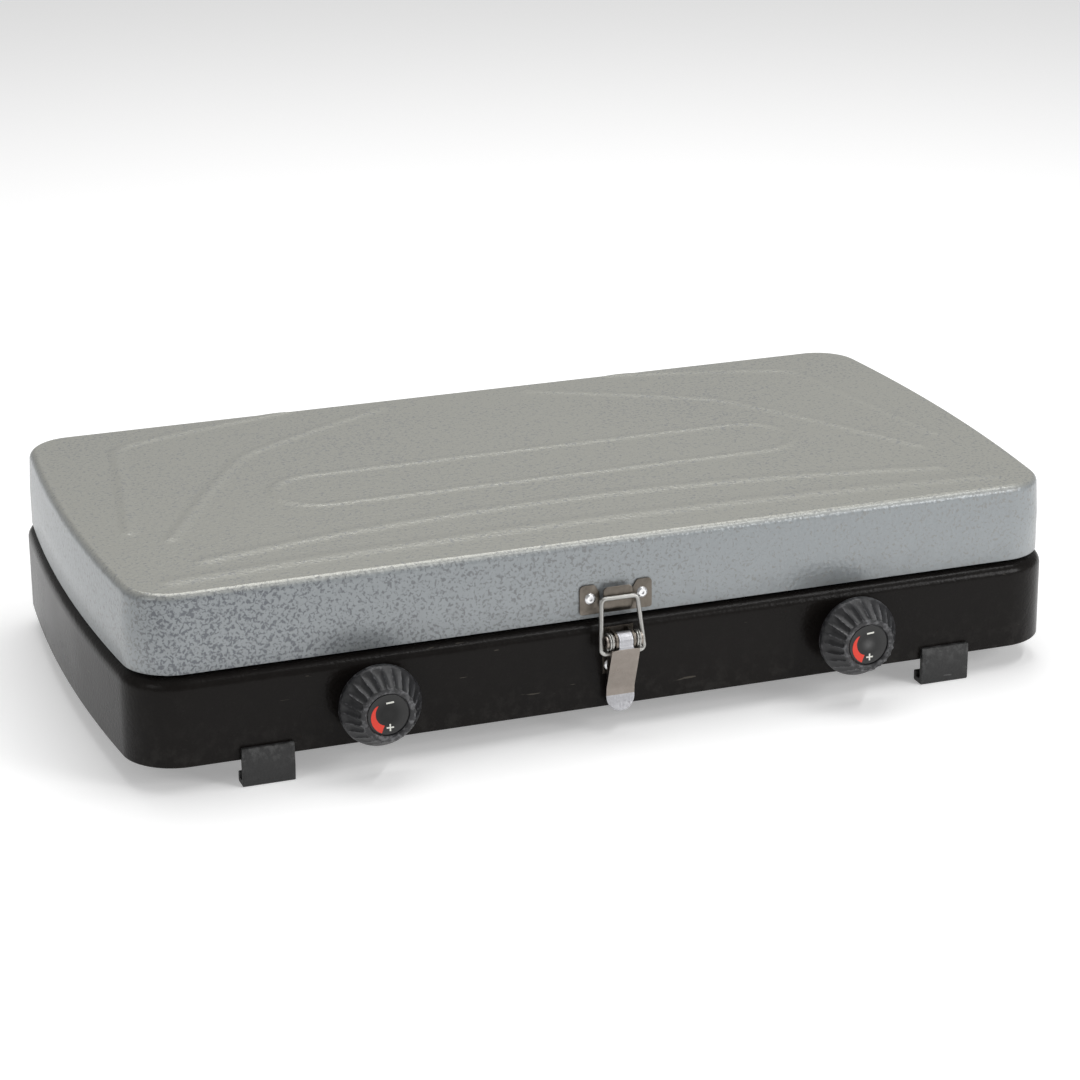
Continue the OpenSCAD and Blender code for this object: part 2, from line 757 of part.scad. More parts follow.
baffle(-1);  // baffle_left
baffle(1);  // baffle_right
baffle_rods();
baffle_clips();
latch_lever();
latch_springs();
latch_bail();
knob(-1);  // knob_left
dial(-1);  // dial_left
stem(-1);  // stem_left
knob(1);  // knob_right
dial(1);  // dial_right
stem(1);  // stem_right
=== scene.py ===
"""Two-burner camp stove, closed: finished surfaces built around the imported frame, in metres."""
import json
import math

import bmesh
import bpy
from mathutils import Matrix, Vector


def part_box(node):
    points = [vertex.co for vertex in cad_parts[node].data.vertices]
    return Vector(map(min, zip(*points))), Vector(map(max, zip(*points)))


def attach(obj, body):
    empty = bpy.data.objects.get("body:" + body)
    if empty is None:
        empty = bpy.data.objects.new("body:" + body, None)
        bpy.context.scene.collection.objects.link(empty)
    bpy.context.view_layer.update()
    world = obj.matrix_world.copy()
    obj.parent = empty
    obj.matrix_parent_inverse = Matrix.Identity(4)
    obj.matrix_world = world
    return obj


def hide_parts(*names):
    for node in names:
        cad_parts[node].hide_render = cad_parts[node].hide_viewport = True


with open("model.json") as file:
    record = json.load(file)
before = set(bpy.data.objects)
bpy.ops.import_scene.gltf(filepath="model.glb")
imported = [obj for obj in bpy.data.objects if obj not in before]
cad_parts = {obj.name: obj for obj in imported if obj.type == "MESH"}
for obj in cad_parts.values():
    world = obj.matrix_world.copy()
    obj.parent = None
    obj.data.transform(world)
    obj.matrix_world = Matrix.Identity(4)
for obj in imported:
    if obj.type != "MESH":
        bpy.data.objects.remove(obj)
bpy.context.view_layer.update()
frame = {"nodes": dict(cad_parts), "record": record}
NODES = frame["nodes"]
MM = 0.001


# ---------------------------------------------------------------- dimensions taken from the frame
def low(node):
    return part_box(node)[0]


def high(node):
    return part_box(node)[1]


HALF_W = high("base_shell")[0]
HALF_D = high("base_shell")[1]
FRONT = -HALF_D
BASE_TOP = high("base_shell")[2]
LID_LOW = low("lid_shell")[2]
LID_TOP = high("lid_shell")[2]
SHEET = 0.9 * MM
END_BOW = 8.8 * MM
CORNER_R = 31 * MM
RIM_R = 7.3 * MM
FLANGE_IN = 16 * MM
LID_INSET = HALF_D - high("lid_shell")[1]
LID_EDGE_R = 5 * MM
LID_LEAN = 0.9 * MM
HEM_IN = 9.5 * MM

END_R = (HALF_D ** 2 + END_BOW ** 2) / (2 * END_BOW)
END_X = HALF_W - END_R
CORNER_Y = HALF_D - CORNER_R
CORNER_X = END_X + math.sqrt((END_R - CORNER_R) ** 2 - CORNER_Y ** 2)
CORNER_A = math.atan2(CORNER_Y, CORNER_X - END_X)


# ---------------------------------------------------------------- mesh helpers
def mesh_object(name, verts, faces, smooth_angle=35.0):
    mesh = bpy.data.meshes.new(name)
    mesh.from_pydata([tuple(v) for v in verts], [], faces)
    mesh.validate()
    bm = bmesh.new()
    bm.from_mesh(mesh)
    bmesh.ops.recalc_face_normals(bm, faces=bm.faces)
    bm.to_mesh(mesh)
    bm.free()
    obj = bpy.data.objects.new(name, mesh)
    bpy.context.scene.collection.objects.link(obj)
    shade(obj, smooth_angle)
    return obj


def shade(obj, angle=35.0):
    """Smooth shading that keeps edges sharper than the angle."""
    mesh = obj.data
    mesh.shade_smooth()
    mesh.set_sharp_from_angle(angle=math.radians(angle))


def apply_modifiers(obj):
    """Replaces the object's mesh by the result of its modifiers."""
    graph = bpy.context.evaluated_depsgraph_get()
    result = bpy.data.meshes.new_from_object(obj.evaluated_get(graph))
    obj.modifiers.clear()
    obj.data = result


def bevel(obj, width, segments=2, angle=40.0):
    mod = obj.modifiers.new("edge_round", "BEVEL")
    mod.width = width
    mod.segments = segments
    mod.limit_method = "ANGLE"
    mod.angle_limit = math.radians(angle)
    mod.harden_normals = False
    apply_modifiers(obj)
    shade(obj, angle)


def prism_x(name, outline_yz, x0, x1, round_w=0.0, segments=2):
    """A flat piece with an outline in Y and Z, between two values of X, with rounded edges."""
    n = len(outline_yz)
    verts = [(x0, y, z) for y, z in outline_yz] + [(x1, y, z) for y, z in outline_yz]
    faces = [list(range(n)), list(range(2 * n - 1, n - 1, -1))]
    faces += [[k, (k + 1) % n, n + (k + 1) % n, n + k] for k in range(n)]
    obj = mesh_object(name, verts, faces)
    if round_w:
        bevel(obj, round_w, segments)
    return obj


def tube(name, path, radius, sides=14, closed=False):
    """A round wire swept along a path."""
    pts = [Vector(p) for p in path]
    n = len(pts)
    verts, faces = [], []
    normal = None
    for k, p in enumerate(pts):
        if closed:
            along = (pts[(k + 1) % n] - pts[k - 1]).normalized()
        else:
            along = (pts[min(k + 1, n - 1)] - pts[max(k - 1, 0)]).normalized()
        if normal is None:
            normal = along.orthogonal().normalized()
        normal = (normal - along * normal.dot(along)).normalized()
        side = along.cross(normal)
        for j in range(sides):
            a = 2 * math.pi * j / sides
            verts.append(p + radius * (math.cos(a) * normal + math.sin(a) * side))
    for k in range(n if closed else n - 1):
        k2 = (k + 1) % n
        for j in range(sides):
            j2 = (j + 1) % sides
            faces.append([k * sides + j, k * sides + j2, k2 * sides + j2, k2 * sides + j])
    if not closed:
        faces.append(list(range(sides)))
        faces.append([(n - 1) * sides + j for j in range(sides - 1, -1, -1)])
    return mesh_object(name, verts, faces, 60.0)


def rounded_path(corners, radius, steps=8):
    """Rounds the inner corners of a polyline with arcs of the given bend radius."""
    pts = [Vector(c) for c in corners]
    out = [pts[0]]
    for k in range(1, len(pts) - 1):
        a = (pts[k - 1] - pts[k]).normalized()
        b = (pts[k + 1] - pts[k]).normalized()
        half = a.angle(b) / 2
        reach = radius / math.tan(half)
        centre = pts[k] + (a + b).normalized() * (radius / math.sin(half))
        start = pts[k] + a * reach - centre
        stop = pts[k] + b * reach - centre
        start.normalize()
        stop.normalize()
        for j in range(steps + 1):
            out.append(centre + start.slerp(stop, j / steps) * radius)
    out.append(pts[-1])
    return out


def lathe(name, profile, segments=96, wobble=None):
    """A turned piece about +Z from points (radius, height). wobble(k, a) takes off part of a radius."""
    verts, faces = [], []
    rows = len(profile)
    for k, (r, h) in enumerate(profile):
        for j in range(segments):
            a = 2 * math.pi * j / segments
            rr = max(r - (wobble(k, a) if wobble else 0.0), 0.0)
            verts.append((rr * math.cos(a), rr * math.sin(a), h))
    for k in range(rows - 1):
        for j in range(segments):
            a, b = k * segments + j, k * segments + (j + 1) % segments
            faces.append([a, b, b + segments, a + segments])
    faces.append(list(range(segments - 1, -1, -1)))
    faces.append([(rows - 1) * segments + j for j in range(segments)])
    return mesh_object(name, verts, faces, 32.0)


def place(obj, matrix):
    obj.data.transform(matrix)


def finish_piece(obj, body, slot, material, *replaced):
    obj.data.materials.clear()
    obj.data.materials.append(material)
    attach(obj, body)
    if replaced:
        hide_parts(*replaced)
    return obj


# ---------------------------------------------------------------- plan outline of the case
def plan_normal(x, y, inset):
    """Outward direction of the outline at a point of it that lies inset inside the case. The inset argument
    is not used.
    """
    if abs(y) <= CORNER_Y + 1e-9 and abs(x) > CORNER_X - CORNER_R:
        n = Vector((abs(x) - END_X, abs(y)))
    elif abs(x) > CORNER_X + 1e-9:
        n = Vector((abs(x) - CORNER_X, abs(y) - CORNER_Y))
        if n.y * (CORNER_X - END_X) < n.x * CORNER_Y:
            n = Vector((abs(x) - END_X, abs(y)))
    else:
        n = Vector((0.0, 1.0))
    n.normalize()
    return Vector((math.copysign(n.x, x) if n.x else 0.0, math.copysign(n.y, y)))


def half_width(y, inset):
    """Half the width of the outline, moved in by inset, at a distance y from the middle."""
    edge_y = (END_R - inset) * math.sin(CORNER_A)
    if abs(y) <= edge_y:
        return END_X + math.sqrt((END_R - inset) ** 2 - y * y)
    r = CORNER_R - inset
    return CORNER_X + math.sqrt(max(r * r - (abs(y) - CORNER_Y) ** 2, 0.0))


def plan_outline(inset, end_steps=24, corner_steps=22, side_steps=60):
    """Points round the outline at one inset, anticlockwise from the middle of the right end."""
    quarter = []
    for k in range(end_steps):
        a = CORNER_A * k / end_steps
        quarter.append((END_X, 0.0, END_R, a))
    for k in range(corner_steps + 1):
        a = CORNER_A + (math.pi / 2 - CORNER_A) * k / corner_steps
        quarter.append((CORNER_X, CORNER_Y, CORNER_R, a))
    pts = [(cx + (r - inset) * math.cos(a), cy + (r - inset) * math.sin(a)) for cx, cy, r, a in quarter]
    side = [(CORNER_X * (1 - 2 * k / side_steps), HALF_D - inset) for k in range(1, side_steps)]
    back = pts + side + [(-x, y) for x, y in reversed(pts)]
    front = [(-x, -y) for x, y in back[1:-1]]
    return back + front


def ring_skin(name, section, smooth_angle=35.0):
    """A wall that follows the outline all round, from its closed section of (inset, z)."""
    rings = [plan_outline(inset) for inset, z in section]
    n = len(rings[0])
    verts = [(x, y, section[k][1]) for k, ring in enumerate(rings) for x, y in ring]
    count = len(section)
    faces = [[k * n + j, k * n + (j + 1) % n, (k + 1) % count * n + (j + 1) % n, (k + 1) % count * n + j]
             for k in range(count) for j in range(n)]
    return mesh_object(name, verts, faces, smooth_angle)


def arc_section(inset, z, r, start, stop, steps):
    """Quarter round of a wall's section, as (inset, z) points."""
    return [(inset - r * math.cos(math.radians(start + (stop - start) * k / steps)),
             z + r * math.sin(math.radians(start + (stop - start) * k / steps))) for k in range(steps + 1)]


# ---------------------------------------------------------------- shader groups
def add(tree, kind, x=0, y=0, **values):
    """Adds a node and sets its input sockets and properties by name."""
    node = tree.nodes.new(kind)
    node.location = (x, y)
    for key, value in values.items():
        if hasattr(node, key) and key not in node.inputs:
            setattr(node, key, value)
        else:
            node.inputs[key.replace("_", " ")].default_value = value
    return node


def ramp(tree, source, stops, x=0, y=0):
    node = tree.nodes.new("ShaderNodeValToRGB")
    node.location = (x, y)
    while len(node.color_ramp.elements) > 1:
        node.color_ramp.elements.remove(node.color_ramp.elements[-1])
    node.color_ramp.elements[0].position = stops[0][0]
    node.color_ramp.elements[0].color = stops[0][1]
    for pos, col in stops[1:]:
        node.color_ramp.elements.new(pos).color = col
    tree.links.new(source, node.inputs[0])
    return node


def grey(v):
    return (v, v, v, 1.0)


def new_group(name, inputs, outputs):
    """A shader group. Inputs are (name, type, default) and outputs (name, type)."""
    tree = bpy.data.node_groups.new(name, "ShaderNodeTree")
    for label, kind, default in inputs:
        socket = tree.interface.new_socket(label, in_out="INPUT", socket_type=kind)
        socket.default_value = default
    for label, kind in outputs:
        tree.interface.new_socket(label, in_out="OUTPUT", socket_type=kind)
    start = tree.nodes.new("NodeGroupInput")
    end = tree.nodes.new("NodeGroupOutput")
    start.location = (-900, 0)
    end.location = (900, 0)
    return tree, start, end


FLOAT, COLOR = "NodeSocketFloat", "NodeSocketColor"


def math_node(tree, operation, a, b=None, x=0, y=0, clamp=False):
    node = tree.nodes.new("ShaderNodeMath")
    node.operation = operation
    node.location = (x, y)
    node.use_clamp = clamp
    for k, value in enumerate((a, b)):
        if value is None:
            continue
        if isinstance(value, (int, float)):
            node.inputs[k].default_value = value
        else:
            tree.links.new(value, node.inputs[k])
    return node.outputs[0]


def mix_colors(tree, factor, a, b, x=0, y=0):
    node = tree.nodes.new("ShaderNodeMix")
    node.data_type = "RGBA"
    node.location = (x, y)
    for socket, value in ((node.inputs[0], factor), (node.inputs[6], a), (node.inputs[7], b)):
        if isinstance(value, (int, float, tuple)):
            socket.default_value = value
        else:
            tree.links.new(value, socket)
    return node.outputs[2]


def object_coords(tree):
    return tree.nodes.new("ShaderNodeTexCoord").outputs["Object"]


def build_hammer_group():
    """Hammered paint: pooled dimples and dark specks between them. The top is painted lighter than the walls,
    and the specks are painted darker and denser on the front-facing walls towards the left, as painted light
    and shade.
    """
    tree, start, end = new_group(
        "hammered_paint",
        [("Cell Scale", FLOAT, 420.0), ("Top", COLOR, grey(0.4)), ("Wall", COLOR, grey(0.3)),
         ("Dark", COLOR, grey(0.15)), ("Shadow", COLOR, grey(0.3))],
        [("Color", COLOR), ("Height", FLOAT), ("Roughness", FLOAT)])
    link = tree.links.new
    coords = object_coords(tree)
    place_xyz = tree.nodes.new("ShaderNodeSeparateXYZ")
    link(coords, place_xyz.inputs[0])
    normal = tree.nodes.new("ShaderNodeSeparateXYZ")
    link(tree.nodes.new("ShaderNodeNewGeometry").outputs["Normal"], normal.inputs[0])
    upright = ramp(tree, normal.outputs["Z"], [(0.35, grey(1)), (0.95, grey(0))]).outputs[0]
    # Painted shade: on upright walls that face the front, towards the left end, the specks are made darker
    # and more of them.
    left = ramp(tree, math_node(tree, "ADD", place_xyz.outputs["X"], 0.5), [(0.30, grey(1)), (0.62, grey(0))])
    forward = math_node(tree, "MULTIPLY", normal.outputs["Y"], -1.0)
    facing = ramp(tree, forward, [(0.35, grey(0)), (0.85, grey(1))])
    front_left_shade = math_node(tree, "MULTIPLY", upright, facing.outputs[0])
    front_left_shade = math_node(tree, "MULTIPLY", left.outputs[0], front_left_shade)
    cells = add(tree, "ShaderNodeTexVoronoi", -600, 200, feature="SMOOTH_F1", Smoothness=0.7)
    link(coords, cells.inputs["Vector"])
    link(start.outputs["Cell Scale"], cells.inputs["Scale"])
    fine = add(tree, "ShaderNodeTexNoise", -600, -50, Detail=2.0, Roughness=0.5, Distortion=0.6)
    link(coords, fine.inputs["Vector"])
    link(math_node(tree, "MULTIPLY", start.outputs["Cell Scale"], 1.25), fine.inputs["Scale"])
    patches = add(tree, "ShaderNodeTexNoise", -600, -300, Scale=9.0, Detail=3.0)
    link(coords, patches.inputs["Vector"])
    patchy = math_node(tree, "MULTIPLY", math_node(tree, "SUBTRACT", patches.outputs[0], 0.5), 0.16)
    threshold = math_node(tree, "SUBTRACT", math_node(tree, "ADD", patchy, 0.545),
                          math_node(tree, "MULTIPLY", front_left_shade, 0.06))
    over = math_node(tree, "SUBTRACT", fine.outputs[0], threshold)
    speck = math_node(tree, "MULTIPLY", over, 9.0, clamp=True)
    # Painted light and shade: the top of the one paint is painted lighter and warmer, the upright walls
    # darker and bluer.
    base = mix_colors(tree, upright, start.outputs["Top"], start.outputs["Wall"])
    # Speck colour: real hammer pattern, turned darker by the painted shade on the front-left walls.
    speck_and_shade = mix_colors(tree, front_left_shade, start.outputs["Shadow"], start.outputs["Dark"])
    color = mix_colors(tree, speck, base, speck_and_shade)
    link(color, end.inputs["Color"])
    height = math_node(tree, "SUBTRACT", math_node(tree, "MULTIPLY", fine.outputs[0], 0.6),
                       math_node(tree, "MULTIPLY", cells.outputs["Distance"], 0.9))
    link(height, end.inputs["Height"])
    link(math_node(tree, "ADD", math_node(tree, "MULTIPLY", speck, 0.12), 0.36), end.inputs["Roughness"])
    return tree


def build_peel_group():
    """Orange peel of sprayed or moulded surfaces, with a finer grain on it."""
    tree, start, end = new_group(
        "orange_peel", [("Scale", FLOAT, 500.0), ("Grain", FLOAT, 0.3)],
        [("Height", FLOAT), ("Patches", FLOAT)])
    link = tree.links.new
    coords = object_coords(tree)
    peel = add(tree, "ShaderNodeTexNoise", -500, 100, Detail=1.5, Roughness=0.4)
    link(coords, peel.inputs["Vector"])
    link(start.outputs["Scale"], peel.inputs["Scale"])
    grain = add(tree, "ShaderNodeTexNoise", -500, -150, Detail=2.0)
    link(coords, grain.inputs["Vector"])
    link(math_node(tree, "MULTIPLY", start.outputs["Scale"], 5.0), grain.inputs["Scale"])
    patches = add(tree, "ShaderNodeTexNoise", -500, -400, Scale=16.0, Detail=4.0)
    link(coords, patches.inputs["Vector"])
    grit = math_node(tree, "MULTIPLY", grain.outputs[0], start.outputs["Grain"])
    link(math_node(tree, "ADD", peel.outputs[0], grit), end.inputs["Height"])
    link(patches.outputs[0], end.inputs["Patches"])
    return tree


def build_wear_group():
    """Chips along exposed edges and sparse scratches: a mask from 0, sound, to 1, worn."""
    tree, start, end = new_group(
        "wear", [("Edge", FLOAT, 0.5), ("Scratches", FLOAT, 0.5), ("Scale", FLOAT, 90.0)],
        [("Edge Mask", FLOAT), ("Scratch Mask", FLOAT)])
    link = tree.links.new
    coords = object_coords(tree)
    geometry = tree.nodes.new("ShaderNodeNewGeometry")
    breakup = add(tree, "ShaderNodeTexNoise", -600, 0, Detail=5.0, Roughness=0.65)
    link(coords, breakup.inputs["Vector"])
    link(start.outputs["Scale"], breakup.inputs["Scale"])
    convex = ramp(tree, geometry.outputs["Pointiness"], [(0.505, grey(0)), (0.58, grey(1))], -400, 250)
    chips = ramp(tree, breakup.outputs[0], [(0.48, grey(0)), (0.62, grey(1))], -400, 0)
    edge = math_node(tree, "MULTIPLY", convex.outputs[0], chips.outputs[0])
    link(math_node(tree, "MULTIPLY", edge, start.outputs["Edge"], clamp=True), end.inputs["Edge Mask"])
    stretch = add(tree, "ShaderNodeMapping", -800, -300, Scale=(1.0, 1.0, 7.0))
    stretch.inputs["Rotation"].default_value = (0.35, 0.5, 0.2)
    link(coords, stretch.inputs["Vector"])
    lines = add(tree, "ShaderNodeTexNoise", -600, -300, Scale=55.0, Detail=2.0, Roughness=0.5)
    link(stretch.outputs[0], lines.inputs["Vector"])
    thin = ramp(tree, lines.outputs[0], [(0.735, grey(0)), (0.76, grey(1))], -400, -300)
    link(math_node(tree, "MULTIPLY", thin.outputs[0], start.outputs["Scratches"], clamp=True),
         end.inputs["Scratch Mask"])
    return tree


def build_brush_group():
    """Drawn or brushed metal: streaks along one axis and soft stains."""
    tree, start, end = new_group(
        "drawn_metal", [("Streak Scale", FLOAT, 900.0), ("Stain Scale", FLOAT, 130.0)],
        [("Streaks", FLOAT), ("Stains", FLOAT), ("Height", FLOAT)])
    link = tree.links.new
    coords = object_coords(tree)
    squeeze = add(tree, "ShaderNodeMapping", -800, 100, Scale=(1.0, 1.0, 0.06))
    link(coords, squeeze.inputs["Vector"])
    streaks = add(tree, "ShaderNodeTexNoise", -600, 100, Detail=3.0, Roughness=0.6)
    link(squeeze.outputs[0], streaks.inputs["Vector"])
    link(start.outputs["Streak Scale"], streaks.inputs["Scale"])
    stains = add(tree, "ShaderNodeTexNoise", -600, -150, Detail=5.0, Roughness=0.6)
    link(coords, stains.inputs["Vector"])
    link(start.outputs["Stain Scale"], stains.inputs["Scale"])
    link(streaks.outputs[0], end.inputs["Streaks"])
    link(stains.outputs[0], end.inputs["Stains"])
    link(math_node(tree, "ADD", streaks.outputs[0], math_node(tree, "MULTIPLY", stains.outputs[0], 0.4)),
         end.inputs["Height"])
    return tree


HAMMER = build_hammer_group()
PEEL = build_peel_group()
WEAR = build_wear_group()
BRUSH = build_brush_group()


# ---------------------------------------------------------------- materials
def new_material(name, **values):
    """A material with a Principled shader whose plain values are set on its own sockets."""
    mat = bpy.data.materials.new(name)
    mat.use_nodes = True
    shader = mat.node_tree.nodes["Principled BSDF"]
    for key, value in values.items():
        shader.inputs[key.replace("_", " ")].default_value = value
    return mat, mat.node_tree, shader


def use_group(tree, group, **values):
    node = tree.nodes.new("ShaderNodeGroup")
    node.node_tree = group
    for key, value in values.items():
        node.inputs[key.replace("_", " ")].default_value = value
    return node


def bump_into(tree, shader, height, strength, distance):
    node = tree.nodes.new("ShaderNodeBump")
    node.inputs["Strength"].default_value = strength
    node.inputs["Distance"].default_value = distance
    tree.links.new(height, node.inputs["Height"])
    tree.links.new(node.outputs[0], shader.inputs["Normal"])


def hammer_paint_material():
    mat, tree, shader = new_material("hammered_silver_paint", Metallic=0.3, Coat_Weight=0.25,
                                     Coat_Roughness=0.2)
    # Painted light and shade on one paint: the top colour is lighter and warmer, the wall colour darker and
    # bluer; Dark is the speck colour of the painted shade on the front-left walls.
    paint = use_group(tree, HAMMER, Cell_Scale=430.0, Top=(0.36, 0.36, 0.325, 1),
                      Wall=(0.275, 0.295, 0.305, 1), Dark=(0.135, 0.145, 0.16, 1),
                      Shadow=(0.25, 0.255, 0.25, 1))
    wear = use_group(tree, WEAR, Edge=0.2, Scratches=0.10, Scale=70.0)
    color = mix_colors(tree, wear.outputs["Edge Mask"], paint.outputs["Color"], (0.09, 0.088, 0.085, 1))
    tree.links.new(color, shader.inputs["Base Color"])
    tree.links.new(paint.outputs["Roughness"], shader.inputs["Roughness"])
    bump_into(tree, shader, paint.outputs["Height"], 0.5, 0.00045)
    return mat


def black_enamel_material(name="gloss_black_enamel", rough=0.2):
    mat, tree, shader = new_material(name, Specular_IOR_Level=0.1, Coat_Weight=0.015,
                                     Coat_Roughness=0.1)
    peel = use_group(tree, PEEL, Scale=520.0, Grain=0.12)
    wear = use_group(tree, WEAR, Edge=0.35, Scratches=0.5, Scale=120.0)
    base = mix_colors(tree, peel.outputs["Patches"], (0.0062, 0.0054, 0.0050, 1), (0.0095, 0.0080, 0.0072, 1))
    base = mix_colors(tree, wear.outputs["Scratch Mask"], base, (0.10, 0.09, 0.075, 1))
    base = mix_colors(tree, wear.outputs["Edge Mask"], base, (0.05, 0.047, 0.043, 1))
    tree.links.new(base, shader.inputs["Base Color"])
    uneven = math_node(tree, "ADD", math_node(tree, "MULTIPLY", peel.outputs["Patches"], 0.14), rough)
    tree.links.new(uneven, shader.inputs["Roughness"])
    bump_into(tree, shader, peel.outputs["Height"], 0.35, 0.0004)
    return mat


def metal_material(name, color_a, color_b, rough, streak=900.0, stain=130.0, strength=0.12):
    mat, tree, shader = new_material(name, Metallic=1.0)
    brush = use_group(tree, BRUSH, Streak_Scale=streak, Stain_Scale=stain)
    wear = use_group(tree, WEAR, Edge=0.6, Scratches=0.3, Scale=200.0)
    color = mix_colors(tree, brush.outputs["Stains"], color_a, color_b)
    bright = tuple(min(1.0, c * 1.25) for c in color_a[:3]) + (1.0,)
    color = mix_colors(tree, wear.outputs["Edge Mask"], color, bright)
    tree.links.new(color, shader.inputs["Base Color"])
    uneven = math_node(tree, "ADD", math_node(tree, "MULTIPLY", brush.outputs["Streaks"], 0.22), rough)
    tree.links.new(uneven, shader.inputs["Roughness"])
    bump_into(tree, shader, brush.outputs["Height"], strength, 0.0002)
    return mat


def plastic_material(name, color, worn, rough, peel_scale, bump_strength, edge=0.8, scratches=0.4):
    mat, tree, shader = new_material(name)
    peel = use_group(tree, PEEL, Scale=peel_scale, Grain=0.5)
    wear = use_group(tree, WEAR, Edge=edge, Scratches=scratches, Scale=260.0)
    lighter = tuple(min(1.0, c * 1.7) for c in color[:3]) + (1.0,)
    base = mix_colors(tree, peel.outputs["Patches"], color, lighter)
    base = mix_colors(tree, wear.outputs["Scratch Mask"], base, worn)
    base = mix_colors(tree, wear.outputs["Edge Mask"], base, worn)
    tree.links.new(base, shader.inputs["Base Color"])
    uneven = math_node(tree, "ADD", math_node(tree, "MULTIPLY", peel.outputs["Patches"], 0.2), rough)
    tree.links.new(uneven, shader.inputs["Roughness"])
    bump_into(tree, shader, peel.outputs["Height"], bump_strength, 0.0003)
    return mat


def enamel_print_material(name, color):
    mat, tree, shader = new_material(name, Roughness=0.35)
    peel = use_group(tree, PEEL, Scale=900.0, Grain=0.3)
    dull = tuple(c * 0.75 for c in color[:3]) + (1.0,)
    tree.links.new(mix_colors(tree, peel.outputs["Patches"], color, dull), shader.inputs["Base Color"])
    bump_into(tree, shader, peel.outputs["Height"], 0.1, 0.0001)
    return mat


MATERIALS = {
    "hammer_paint": hammer_paint_material(),
    "black_enamel": black_enamel_material(),
    "zinc": metal_material("zinc_plate", (0.62, 0.62, 0.60, 1), (0.42, 0.41, 0.39, 1), 0.22),
    "zinc_steel": metal_material("plated_steel", (0.52, 0.52, 0.50, 1), (0.36, 0.35, 0.33, 1), 0.28),
    "cast_aluminium": metal_material("cast_aluminium", (0.50, 0.50, 0.49, 1), (0.36, 0.36, 0.35, 1), 0.42,
                                     streak=700.0, stain=260.0, strength=0.5),
    "burner_cap_enamel": black_enamel_material("matt_cap_enamel", rough=0.5),
    "brass": metal_material("turned_brass", (0.70, 0.50, 0.22, 1), (0.50, 0.33, 0.13, 1), 0.2),
    "grate_chrome": metal_material("bright_wire", (0.72, 0.72, 0.70, 1), (0.55, 0.54, 0.52, 1), 0.12),
    "nickel": metal_material("worn_nickel", (0.34, 0.305, 0.275, 1), (0.23, 0.20, 0.175, 1), 0.2,
                             stain=210.0),
    "rivet_aluminium": metal_material("rivet_aluminium", (0.86, 0.86, 0.87, 1), (0.66, 0.66, 0.67, 1), 0.2),
    "foot_plastic": plastic_material("scuffed_foot_plastic", (0.011, 0.011, 0.011, 1),
                                     (0.075, 0.075, 0.075, 1), 0.42, 620.0, 1.0, edge=0.9, scratches=1.0),
    "knob_plastic": plastic_material("knob_plastic", (0.0085, 0.0085, 0.0095, 1), (0.20, 0.20, 0.21, 1),
                                     0.3, 900.0, 0.25, edge=1.0, scratches=0.7),
    "dial_print": enamel_print_material("dial_black", (0.010, 0.010, 0.010, 1)),
}
DIAL_RED = enamel_print_material("dial_red", (0.80, 0.035, 0.012, 1))
DIAL_WHITE = enamel_print_material("dial_white", (0.78, 0.78, 0.72, 1))
WORN_PLATE = metal_material("worn_plate", (0.21, 0.185, 0.16, 1), (0.10, 0.088, 0.072, 1), 0.3, stain=240.0)
LATCH_BRIGHT = metal_material("latch_bright", (0.60, 0.60, 0.62, 1), (0.30, 0.30, 0.32, 1), 0.3, stain=900.0,
                              strength=0.6)


def dress_cad_nodes():
    """Gives every node of the frame the finish that the record names for it."""
    slot_of = {row["node"]: row["material_slot"] for row in frame["record"]["subparts"]}
    for name, obj in NODES.items():
        for slot in obj.material_slots:
            slot.material = MATERIALS[slot_of[name]]
    for slot in NODES["latch_bracket"].material_slots:
        slot.material = WORN_PLATE


dress_cad_nodes()


# ---------------------------------------------------------------- base shell
KNOB_X = (high("knob_right")[0] + low("knob_right")[0]) / 2
KNOB_Z = (high("knob_right")[2] + low("knob_right")[2]) / 2
VALVE_HOLE_R = 6.1 * MM
INLET_HOLE_R = 8.2 * MM


def cut_holes(obj, holes):
    """Drills round holes, each given as (centre, axis, radius, length)."""
    cutters = []
    for centre, axis, radius, length in holes:
        path = [Vector(centre) - Vector(axis) * length / 2, Vector(centre) + Vector(axis) * length / 2]
        cutters.append(tube("drill", path, radius, 48))
    for cutter in cutters:
        mod = obj.modifiers.new("hole", "BOOLEAN")
        mod.operation = "DIFFERENCE"
        mod.solver = "EXACT"
        mod.object = cutter
    apply_modifiers(obj)
    for cutter in cutters:
        bpy.data.objects.remove(cutter)
    shade(obj)


def make_base_skin():
    start = BASE_TOP - RIM_R
    inner = RIM_R - SHEET
    section = ([(0.4 * MM, 0.0), (0.0, 0.5 * MM), (0.0, start * 0.5)]
               + arc_section(RIM_R, start, RIM_R, 0, 90, 10)
               + [(FLANGE_IN, BASE_TOP), (FLANGE_IN, BASE_TOP - SHEET)]
               + arc_section(RIM_R, start, inner, 90, 0, 6)
               + [(SHEET, 2 * SHEET), (11 * MM, 2 * SHEET), (11 * MM, 1.03 * SHEET), (SHEET, 1.03 * SHEET),
                  (SHEET, 0.0)])
    skin = ring_skin("base_skin", section)
    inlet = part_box("inlet_fitting")
    centre_y = (inlet[0][1] + inlet[1][1]) / 2
    centre_z = (inlet[0][2] + inlet[1][2]) / 2
    cut_holes(skin, [((-KNOB_X, FRONT, KNOB_Z), (0, 1, 0), VALVE_HOLE_R, 6 * MM),
                     ((KNOB_X, FRONT, KNOB_Z), (0, 1, 0), VALVE_HOLE_R, 6 * MM),
                     ((HALF_W, centre_y, centre_z), (1, 0, 0), INLET_HOLE_R, 8 * MM)])
    finish_piece(skin, "base", "black_enamel", MATERIALS["black_enamel"], "base_shell")


make_base_skin()


